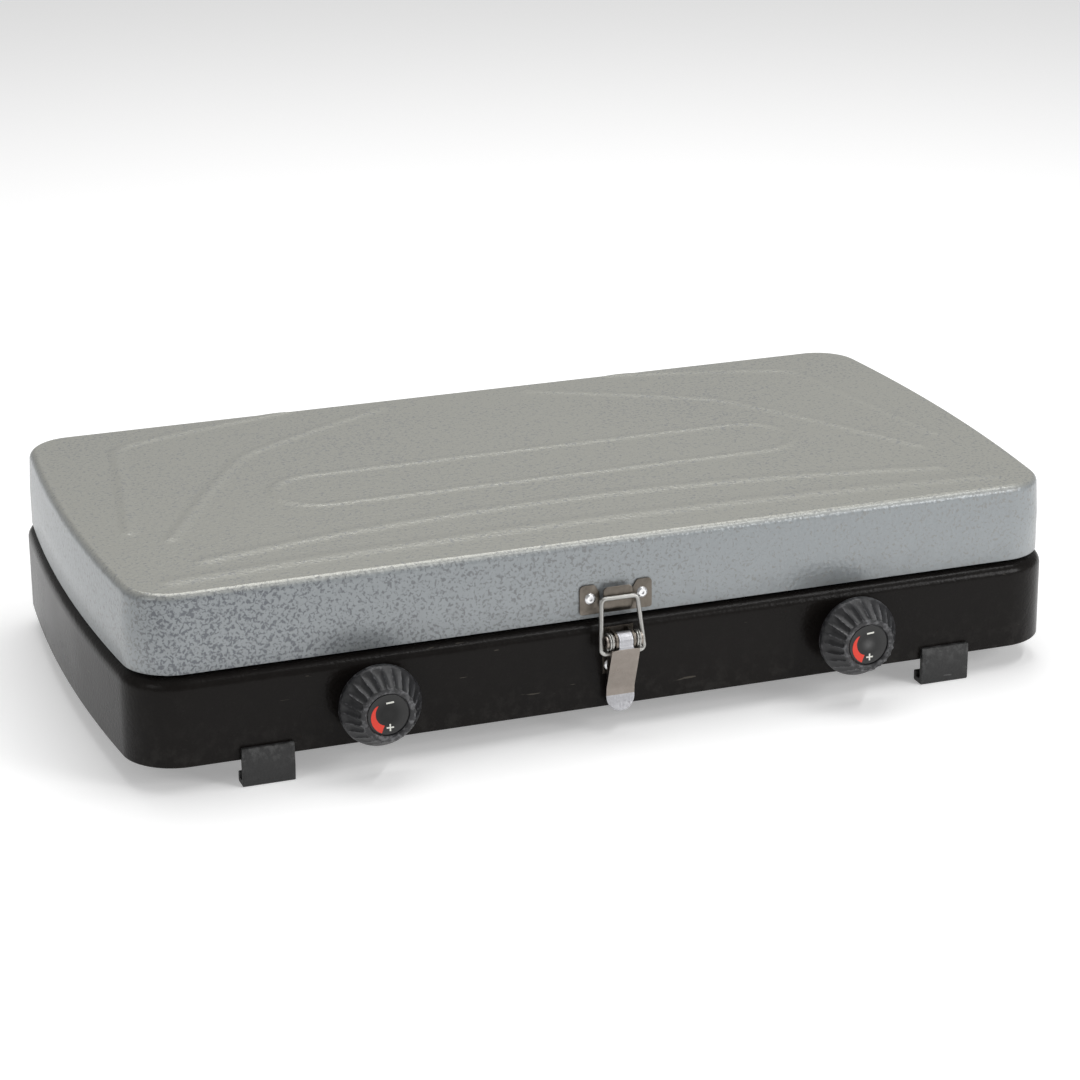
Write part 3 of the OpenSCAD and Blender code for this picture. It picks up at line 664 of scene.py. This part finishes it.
# ---------------------------------------------------------------- lid with stiffening beads
TOP_INSET = LID_INSET + LID_LEAN + LID_EDGE_R
BEAD_H = 0.9 * MM
CROWN_H = 0.35 * MM
PLATE_Z = LID_TOP - 2 * CROWN_H
CORNER_ROWS = 12
MIDDLE_ROWS = 118
COLUMNS = 262


def arc_points(centre, radius, start, stop, steps):
    return [(centre[0] + radius * math.cos(math.radians(start + (stop - start) * k / steps)),
             centre[1] + radius * math.sin(math.radians(start + (stop - start) * k / steps)))
            for k in range(steps + 1)]


def shallow_arc(half_span, y_end, rise, steps=24):
    """Points of a wide shallow curve across the lid, highest in the middle."""
    return [(-half_span + 2 * half_span * k / steps,
             y_end + rise * (1 - (2 * k / steps - 1) ** 2)) for k in range(steps + 1)]


def racetrack(cx, cy, half_l, half_h, steps=10):
    """A closed long loop with round ends."""
    right = arc_points((cx + half_l - half_h, cy), half_h, -90, 90, steps)
    left = arc_points((cx - half_l + half_h, cy), half_h, 90, 270, steps)
    return right + left + [right[0]]


def bead_lines():
    """Centre lines of the stiffening beads with their half widths, in millimetres on the lid's top."""
    lines = []
    for s in (-1, 1):
        outer = [(106, 143), (170, 128), (214, 113), (222, 104), (232, 45), (247, -41)]
        inner = [(47, 130), (108, 97), (148, 72), (158, 62), (190, 10), (228, -60)]
        lines.append(([(s * x, y) for x, y in outer], 5.5))
        lines.append(([(s * x, y) for x, y in inner], 5.5))
    lines.append((shallow_arc(219, -100, 26), 7.5))
    lines.append((shallow_arc(243, -125, 13), 9.0))
    lines.append((racetrack(5, -8, 160, 27), 5.0))
    return lines


def distance_to_line(x, y, line):
    best = 1e9
    for (x0, y0), (x1, y1) in zip(line, line[1:]):
        dx, dy = x1 - x0, y1 - y0
        t = max(0.0, min(1.0, ((x - x0) * dx + (y - y0) * dy) / (dx * dx + dy * dy)))
        best = min(best, (x - x0 - t * dx) ** 2 + (y - y0 - t * dy) ** 2)
    return math.sqrt(best)


def bead_height(x, y, lines, boxes):
    """Height of the beads over the plate at a place on the lid, x and y in millimetres."""
    top = 0.0
    for (line, half), (x0, x1, y0, y1) in zip(lines, boxes):
        if not (x0 <= x <= x1 and y0 <= y <= y1):
            continue
        d = distance_to_line(x, y, line)
        if d < half:
            top = max(top, 0.5 + 0.5 * math.cos(math.pi * d / half))
    return BEAD_H * top


def lid_rows():
    """Distances from the middle of the rows of the lid's top, closer together in the corners."""
    reach = CORNER_R - TOP_INSET
    edge_y = (END_R - TOP_INSET) * math.sin(CORNER_A)
    corner = []
    for k in range(1, CORNER_ROWS + 1):
        a = CORNER_A + (math.pi / 2 - CORNER_A) * k / CORNER_ROWS
        corner.append(CORNER_Y + reach * math.sin(a))
    middle = [-edge_y + 2 * edge_y * k / MIDDLE_ROWS for k in range(MIDDLE_ROWS + 1)]
    return [-y for y in reversed(corner)] + middle + corner


def make_lid_skin():
    rows = lid_rows()
    lines = bead_lines()
    boxes = []
    for line, half in lines:
        xs = [p[0] for p in line]
        ys = [p[1] for p in line]
        boxes.append((min(xs) - half, max(xs) + half, min(ys) - half, max(ys) + half))
    verts, faces = [], []
    per_row = COLUMNS + 1
    for y in rows:
        x_half = half_width(y, TOP_INSET)
        for k in range(per_row):
            x = x_half * (2 * k / COLUMNS - 1)
            crown = CROWN_H * (1 - (x / HALF_W) ** 4) * (1 - (y / HALF_D) ** 4)
            verts.append(Vector((x, y, PLATE_Z + crown + bead_height(x / MM, y / MM, lines, boxes))))
    for r in range(len(rows) - 1):
        for k in range(COLUMNS):
            a = r * per_row + k
            faces.append([a, a + 1, a + 1 + per_row, a + per_row])
    last = len(rows) - 1
    rim = list(range(per_row))
    rim += [r * per_row + COLUMNS for r in range(1, last + 1)]
    rim += [last * per_row + k for k in range(COLUMNS - 1, -1, -1)]
    rim += [r * per_row for r in range(last - 1, 0, -1)]
    edge_z = LID_TOP - LID_EDGE_R - CROWN_H
    upper = LID_INSET + LID_LEAN
    lean_z = LID_LOW + 22 * MM
    outside = arc_section(upper + LID_EDGE_R, edge_z, LID_EDGE_R, 0, 90, 8)[-2::-1]
    outside += [(LID_INSET, lean_z), (LID_INSET, LID_LOW + 0.3 * MM), (LID_INSET + 0.3 * MM, LID_LOW),
                (HEM_IN, LID_LOW), (HEM_IN, LID_LOW + SHEET), (LID_INSET + SHEET, LID_LOW + SHEET),
                (LID_INSET + SHEET, lean_z)]
    outside += arc_section(upper + LID_EDGE_R, edge_z, LID_EDGE_R - SHEET, 0, 90, 6)
    normals = [plan_normal(verts[i].x, verts[i].y, TOP_INSET) for i in rim]
    ring = rim
    for inset, z in outside:
        base = len(verts)
        for i, n in zip(rim, normals):
            p = verts[i]
            verts.append(Vector((p.x + n.x * (TOP_INSET - inset), p.y + n.y * (TOP_INSET - inset), z)))
        new_ring = list(range(base, base + len(rim)))
        for k in range(len(rim)):
            k2 = (k + 1) % len(rim)
            faces.append([ring[k], ring[k2], new_ring[k2], new_ring[k]])
        ring = new_ring
    inner = len(verts)
    under = len(rows) * per_row
    for i in range(under):
        verts.append(verts[i] - Vector((0, 0, SHEET)))
    for r in range(last):
        for k in range(COLUMNS):
            a = inner + r * per_row + k
            faces.append([a, a + per_row, a + 1 + per_row, a + 1])
    for k in range(len(rim)):
        k2 = (k + 1) % len(rim)
        faces.append([ring[k], ring[k2], inner + rim[k2], inner + rim[k]])
    skin = mesh_object("lid_skin", verts, faces, 50.0)
    finish_piece(skin, "lid", "hammer_paint", MATERIALS["hammer_paint"], "lid_shell")


make_lid_skin()


# ---------------------------------------------------------------- knobs
FLUTES = 24
FLUTE_DEPTH = 1.15 * MM
KNOB_R = (high("knob_left")[0] - low("knob_left")[0]) / 2
KNOB_BACK = high("knob_left")[1]
KNOB_LEN = high("knob_left")[1] - low("knob_left")[1]
KNOB_FACE_R = 16.5 * MM
DIAL_R = (high("dial_left")[0] - low("dial_left")[0]) / 2
DIAL_FACE = low("dial_left")[1]


def knob_axes(x):
    """Matrix that lays a turned piece, made about +Z from z = 0, on a knob's axis facing the front."""
    return Matrix.Translation((x, KNOB_BACK, KNOB_Z)) @ Matrix.Rotation(math.pi / 2, 4, "X")


def knob_profile():
    """Points (radius, height, flute) from the hub behind, out over the skirt and in to the dial recess."""
    pts = [(3.2, 0.0, 0), (19.5, 0.0, 0), (22.0, 0.25, 0), (22.9, 0.9, 0), (KNOB_R / MM, 1.9, 0),
           (KNOB_R / MM, 3.6, 0), (23.0, 4.6, 0.0)]
    cone_steps = 12
    for k in range(1, cone_steps + 1):
        t = k / cone_steps
        pts.append((23.0 - (23.0 - KNOB_FACE_R / MM) * t, 4.6 + 12.6 * t, min(1.0, 3.5 * t)))
    depth = KNOB_LEN / MM
    pts += [(16.1, depth - 0.75, 0.7), (15.5, depth - 0.25, 0.35), (14.8, depth, 0.0),
            (13.0, depth, 0.0), (12.35, depth - 0.35, 0.0), (DIAL_R / MM + 0.45, depth - 1.0, 0.0),
            (DIAL_R / MM + 0.4, depth - 1.6, 0.0)]
    return pts


def make_knob(side, x):
    profile = knob_profile()

    def flute(k, a):
        return FLUTE_DEPTH * profile[k][2] * abs(math.sin(a * FLUTES / 2)) ** 0.8

    knob = lathe("fluted_knob_" + side, [(r * MM, h * MM) for r, h, f in profile], FLUTES * 10, flute)
    place(knob, knob_axes(x))
    body = "knob_" + side
    finish_piece(knob, body, "knob_plastic", MATERIALS["knob_plastic"], "knob_" + side)

    face = (KNOB_BACK - DIAL_FACE) / MM
    rim = DIAL_R / MM
    profile = [(0.0, face - 0.55), (rim, face - 0.55), (rim, face - 0.2), (rim - 0.15, face - 0.1),
               (0.0, face - 0.1)]
    disc = lathe("dial_disc_" + side, [(r * MM, h * MM) for r, h in profile], 96)
    place(disc, knob_axes(x))
    finish_piece(disc, body, "dial_print", MATERIALS["dial_print"], "dial_" + side)

    wedge = flat_print("flame_wedge_" + side, wedge_outline(), face - 0.12, 0.12)
    place(wedge, knob_axes(x))
    finish_piece(wedge, body, "dial_print", DIAL_RED)
    low_mark = [(-0.95, 6.15), (3.35, 6.5), (3.25, 7.45), (-1.05, 7.1)]
    cross = plus_outline(0.9, -7.5, 2.05, 0.42)
    for name, pts in (("low_mark_", low_mark), ("high_mark_", cross)):
        mark = flat_print(name + side, pts, face - 0.12, 0.12)
        place(mark, knob_axes(x))
        finish_piece(mark, body, "dial_print", DIAL_WHITE)


def flat_print(name, pts, base, height):
    """A thin raised print from an outline in millimetres, standing up from base along +Z."""
    n = len(pts)
    verts = [(x * MM, y * MM, z * MM) for z in (base, base + height) for x, y in pts]
    faces = [list(range(n - 1, -1, -1)), list(range(n, 2 * n))]
    faces += [[k, (k + 1) % n, n + (k + 1) % n, n + k] for k in range(n)]
    return mesh_object(name, verts, faces)


def wedge_outline(steps=20):
    """The red wedge on the left of the dial: a point at the top that widens as it turns to the bottom."""
    outer, inner = [], []
    for k in range(steps + 1):
        t = k / steps
        a = math.radians(133 + 116 * t)
        outer.append(((7.9 + 3.0 * t ** 0.62) * math.cos(a), (7.9 + 3.0 * t ** 0.62) * math.sin(a)))
        inner.append(((7.85 - 1.5 * t ** 0.7) * math.cos(a), (7.85 - 1.5 * t ** 0.7) * math.sin(a)))
    return outer + inner[:0:-1]


def plus_outline(cx, cy, arm, half):
    quarter = [(arm, -half), (arm, half), (half, half)]
    pts = []
    for turn in range(4):
        c, s = round(math.cos(math.pi / 2 * turn)), round(math.sin(math.pi / 2 * turn))
        pts += [(cx + c * x - s * y, cy + s * x + c * y) for x, y in quarter]
    return pts


make_knob("left", -KNOB_X)
make_knob("right", KNOB_X)


# ---------------------------------------------------------------- latch
LATCH_PIVOT = (9.5, 42.0)
BAIL_R = 1.3
BAIL_PIVOT = (8.9, 34.8)
PLATE_T = 1.2
LEVER_HALF = 8.3
NECK_HALF = 4.1
NECK_R = 4.95


def front(x, off, z):
    """The point at x across, off in front of the base's wall and z up, all in millimetres."""
    return Vector((x * MM, FRONT - off * MM, z * MM))


def merge(name, objs, angle=35.0):
    """One object from several."""
    bm = bmesh.new()
    for obj in objs:
        bm.from_mesh(obj.data)
        bpy.data.objects.remove(obj)
    mesh = bpy.data.meshes.new(name)
    bm.to_mesh(mesh)
    bm.free()
    merged = bpy.data.objects.new(name, mesh)
    bpy.context.scene.collection.objects.link(merged)
    shade(merged, angle)
    return merged


def bent_strip(name, rows, thickness, columns=14, round_w=0.22):
    """A strip bent along rows of (off, z, half width); its metal lies behind them."""
    n = len(rows)
    verts, faces = [], []
    for depth in (0.0, thickness):
        for k, (off, z, half) in enumerate(rows):
            a, b = rows[max(k - 1, 0)], rows[min(k + 1, n - 1)]
            along = Vector((b[0] - a[0], b[1] - a[1])).normalized()
            centre = (off - along.y * depth, z + along.x * depth)
            for j in range(columns + 1):
                verts.append(front(half * (2 * j / columns - 1), centre[0], centre[1]))
    per_row = columns + 1
    back = n * per_row
    for k in range(n - 1):
        for j in range(columns):
            a = k * per_row + j
            quad = [a, a + 1, a + 1 + per_row, a + per_row]
            faces.append(quad)
            faces.append([back + i for i in reversed(quad)])
        for j in (0, columns):
            a = k * per_row + j
            faces.append([a, a + per_row, back + a + per_row, back + a])
    for k in (0, n - 1):
        for j in range(columns):
            a = k * per_row + j
            faces.append([a, a + 1, back + a + 1, back + a])
    obj = mesh_object(name, verts, faces)
    bevel(obj, round_w * MM, 2, 50.0)
    return obj


def sheet_front(name, outline, off, thickness, round_w=0.2):
    """A flat plate facing the front, from its outline in x and z, with its face at off."""
    n = len(outline)
    verts = [front(x, off, z) for x, z in outline] + [front(x, off - thickness, z) for x, z in outline]
    faces = [list(range(n)), list(range(2 * n - 1, n - 1, -1))]
    faces += [[k, (k + 1) % n, n + (k + 1) % n, n + k] for k in range(n)]
    obj = mesh_object(name, verts, faces)
    bevel(obj, round_w * MM, 2)
    return obj


def round_corners(points, radii, steps=6):
    """An outline with each corner rounded by its own radius."""
    out = []
    n = len(points)
    for k, r in enumerate(radii):
        p = Vector(points[k])
        a = (Vector(points[k - 1]) - p).normalized()
        b = (Vector(points[(k + 1) % n]) - p).normalized()
        if r <= 0:
            out.append(tuple(p))
            continue
        half = a.angle(b) / 2
        centre = p + (a + b).normalized() * (r / math.sin(half))
        start = p + a * (r / math.tan(half)) - centre
        stop = p + b * (r / math.tan(half)) - centre
        turn = start.angle_signed(stop)
        for j in range(steps + 1):
            v = start.copy()
            v.rotate(Matrix.Rotation(-turn * j / steps, 2))
            out.append(tuple(centre + v))
    return out


def lever_rows():
    """The lever from its round tip up the handle, and its narrow tongue curled round the pin."""
    tip_z = 7.4
    path = [(7.4, -0.7), (5.9, 3.4), (5.0, 8.0), (5.3, 12.5), (14.5, 38.0)]
    rows = []
    for (off0, z0), (off1, z1) in zip(path, path[1:]):
        steps = 10 if z1 < 9 else 4
        for k in range(steps):
            t = k / steps
            z = z0 + (z1 - z0) * t
            drop = tip_z - z
            half = LEVER_HALF if drop <= 0 else math.sqrt(max(LEVER_HALF ** 2 - drop ** 2, 1.2))
            rows.append((off0 + (off1 - off0) * t, z, half))
    rows += [(14.2, 37.1, LEVER_HALF - 0.1), (14.45, 37.8, LEVER_HALF - 0.8), (14.5, 38.1, LEVER_HALF - 2.2),
             (14.5, 38.3, NECK_HALF + 0.5), (14.48, 38.9, NECK_HALF)]
    for k in range(20):
        a = math.radians(-25 + 300 * k / 19)
        rows.append((LATCH_PIVOT[0] + NECK_R * math.cos(a), LATCH_PIVOT[1] + NECK_R * math.sin(a), NECK_HALF))
    return rows


def flange_outline():
    """Side of the lever in (off, z): a long flange, cut round the pin."""
    pts = [(14.2, 37.9), (12.0, 31.0), (5.4, 13.2), (4.2, 13.4), (5.2, 21.0), (6.2, 29.0), (6.6, 36.8)]
    for deg in (-118, -100, -80, -60):
        a = math.radians(deg)
        pts.append((LATCH_PIVOT[0] + 5.45 * math.cos(a), LATCH_PIVOT[1] + 5.45 * math.sin(a)))
    return [(FRONT - off * MM, z * MM) for off, z in pts]


def make_lever():
    parts = [bent_strip("lever_plate", lever_rows(), PLATE_T - 0.03)]
    for s in (-1, 1):
        x0, x1 = sorted((s * (LEVER_HALF - PLATE_T), s * LEVER_HALF))
        parts.append(prism_x("flange", flange_outline(), x0 * MM, x1 * MM, 0.15 * MM))
    lever = merge("lever_skin", parts)
    finish_piece(lever, "latch_lever", "nickel", MATERIALS["nickel"], "latch_lever")
    lever.data.materials.append(LATCH_BRIGHT)
    for poly in lever.data.polygons:
        curl = abs(poly.center.x) < (NECK_HALF + 0.3) * MM and poly.center.z > 38.4 * MM
        if curl or poly.center.z < 8.0 * MM:
            poly.material_index = 1


def make_springs():
    turns, steps, pitch, coil_r, first_x, start = 2.4, 72, 1.32, 4.4, 6.5, 2.6
    for side, s in (("left", -1), ("right", 1)):
        path = []
        for k in range(steps + 1):
            a = 2 * math.pi * turns * k / steps
            path.append(front(s * (first_x + pitch * turns * k / steps),
                              LATCH_PIVOT[0] + coil_r * math.cos(a + start),
                              LATCH_PIVOT[1] + coil_r * math.sin(a + start)))
        spring = tube("spring_" + side, path, 0.6 * MM, 10)
        replaced = ("latch_springs",) if s < 0 else ()
        finish_piece(spring, "latch_lever", "zinc_steel", MATERIALS["zinc_steel"], *replaced)


def make_bail():
    top_x, low_x, end_x = 10.6, 12.8, 6.4
    off, z = BAIL_PIVOT
    corners = [front(-end_x, off, z), front(-low_x, off, z), front(-top_x, 3.5, 65), front(top_x, 3.5, 65),
               front(low_x, off, z), front(end_x, off, z)]
    bail = tube("bail_wire", rounded_path(corners, 2.7 * MM, 10), BAIL_R * MM, 18)
    finish_piece(bail, "latch_bail", "zinc_steel", MATERIALS["zinc_steel"], "latch_bail")


def make_catch():
    half_w, low_z, top_z, face = 21.3, 55.0, 72.2, -1.6
    plate = [(-half_w, low_z), (half_w, low_z), (half_w, top_z), (12.6, top_z), (9.7, 67.5), (9.4, 60.0),
             (-9.4, 60.0), (-9.7, 67.5), (-12.6, top_z), (-half_w, top_z)]
    radii = [1.6, 1.6, 2.6, 1.6, 2.0, 0.8, 0.8, 2.0, 1.6, 2.6]
    wings = sheet_front("catch_wings", round_corners(plate, radii), face, 1.08)
    rows = [(-1.45, 55.2, 8.3), (-1.2, 55.7, 8.45), (-0.3, 56.6, 8.5), (1.2, 57.9, 8.5), (1.7, 58.7, 8.5),
            (1.85, 59.8, 8.5), (1.85, 62.0, 8.5), (1.85, 65.0, 8.5), (1.85, 68.3, 8.5)]
    for k in range(1, 7):
        a = math.radians(15 * k)
        rows.append((1.85 - 0.08 * k, 68.3 + 2.7 * math.sin(a), 8.5 - 2.7 * (1 - math.cos(a))))
    tab = bent_strip("catch_tab", rows, 1.1)
    catch = merge("catch_skin", [wings, tab])
    finish_piece(catch, "lid", "zinc", WORN_PLATE, "catch_plate")


make_lever()
make_springs()
make_bail()
make_catch()


# ---------------------------------------------------------------- foot clips
CLIP_HALF = 15.0


def clip_outline():
    """Section of a clip in (y, z) at the front, a flat strap that ends in a hook under the case."""
    wall, bottom = -150.0, -15.0
    pts = [(wall - 3.2, 6.6), (wall - 3.2, -6.0), (wall - 3.2, bottom + 0.8), (wall - 2.4, bottom),
           (wall + 6.5, bottom), (wall + 7.3, bottom + 0.8), (wall + 7.3, bottom + 6),
           (wall + 4.8, bottom + 6),
           (wall + 4.8, bottom + 3), (wall, bottom + 3), (wall, 7.0), (wall - 2.7, 7.0)]
    return round_corners(pts, [0, 0, 0.9, 0.9, 0.9, 0.9, 0.5, 0.5, 0.8, 1.0, 0, 0], 4)


def make_clip(side, end, x, turn):
    """One clip. The sides are not quite straight, as a clip that was cut and pulled from its mould."""
    section = [(y * MM, z * MM) for y, z in clip_outline()]
    n = len(section)
    columns = 16
    verts, faces = [], []
    for c in range(columns + 1):
        u = 2 * c / columns - 1
        for k, (y, z) in enumerate(section):
            wave = 0.25 * math.sin(5.1 * u + 900 * z + side) + 0.15 * math.sin(11 * u - 1700 * z)
            reach = CLIP_HALF - 0.35 + (0.3 * wave if abs(u) == 1 else 0.0)
            sink = 0.12 * (1 + math.sin(7 * u + 1300 * z + 2 * side)) * MM if y < -152.9 * MM else 0.0
            verts.append((x + turn * u * reach * MM, turn * (y + sink), z))
    for c in range(columns):
        for k in range(n):
            k2 = (k + 1) % n
            faces.append([c * n + k, c * n + k2, (c + 1) * n + k2, (c + 1) * n + k])
    faces.append(list(range(n)))
    faces.append([columns * n + k for k in range(n - 1, -1, -1)])
    clip = mesh_object("clip_" + end, verts, faces)
    bevel(clip, 0.3 * MM, 2, 60.0)
    finish_piece(clip, "base", "foot_plastic", MATERIALS["foot_plastic"], "foot_clip_" + end)


for index, end in enumerate(("front_left", "front_right", "rear_left", "rear_right")):
    clip_low, clip_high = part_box("foot_clip_" + end)
    make_clip(index, end, (clip_low[0] + clip_high[0]) / 2, 1 if "front" in end else -1)


# ---------------------------------------------------------------- floor, light and camera
FLOOR_Z = low("foot_clip_front_left")[2]
FLOOR_SIZE = 40.0


def make_floor():
    bpy.ops.mesh.primitive_plane_add(size=FLOOR_SIZE, location=(0, 0, FLOOR_Z))
    floor = bpy.context.object
    floor.name = "studio_floor"
    mat = new_material("pale_floor", Base_Color=(0.86, 0.86, 0.86, 1), Roughness=0.7,
                                     Emission_Color=(1, 1, 1, 1), Emission_Strength=0.30)[0]
    floor.data.materials.append(mat)


def area_light(name, location, aim, size, power, size_y=None):
    lamp = bpy.data.lights.new(name, "AREA")
    lamp.energy = power
    lamp.size = size
    if size_y:
        lamp.shape = "RECTANGLE"
        lamp.size_y = size_y
    obj = bpy.data.objects.new(name, lamp)
    bpy.context.scene.collection.objects.link(obj)
    obj.location = location
    obj.rotation_euler = (Vector(aim) - Vector(location)).to_track_quat("-Z", "Y").to_euler()
    return obj


def set_world(strength):
    world = bpy.data.worlds.new("studio")
    bpy.context.scene.world = world
    world.use_nodes = True
    background = world.node_tree.nodes["Background"]
    background.inputs["Color"].default_value = (1.0, 1.0, 1.0, 1.0)
    background.inputs["Strength"].default_value = strength


def set_camera():
    location = Vector((-0.59357, -1.69243, 0.69032))
    forward = Vector((0.3155635, 0.88680554, -0.33763236))
    up = Vector((0.12247814, 0.3147712, 0.94123227))
    right = forward.cross(up).normalized()
    up = right.cross(forward).normalized()
    data = bpy.data.cameras.new("camera")
    data.lens = 106.89
    data.sensor_width = 36.0
    data.clip_end = 50.0
    camera = bpy.data.objects.new("camera", data)
    bpy.context.scene.collection.objects.link(camera)
    rows = Matrix((right, up, -forward)).transposed().to_4x4()
    camera.matrix_world = Matrix.Translation(location) @ rows
    bpy.context.scene.camera = camera


make_floor()
set_world(0.32)
area_light("key_softbox", (1.5, -1.8, 1.0), (0, 0, 0.04), 0.8, 19.0)
area_light("top_softbox", (0.1, 0.5, 1.7), (0, 0, 0.05), 1.4, 20.0)
area_light("edge_strip", (0.75, -0.7, 1.6), (0, -0.15, 0.08), 1.3, 7.0, 0.07)
area_light("left_softbox", (-1.7, -0.9, 1.1), (0, 0, 0.05), 0.7, 3.5)
bpy.context.scene.view_settings.view_transform = "Standard"
set_camera()
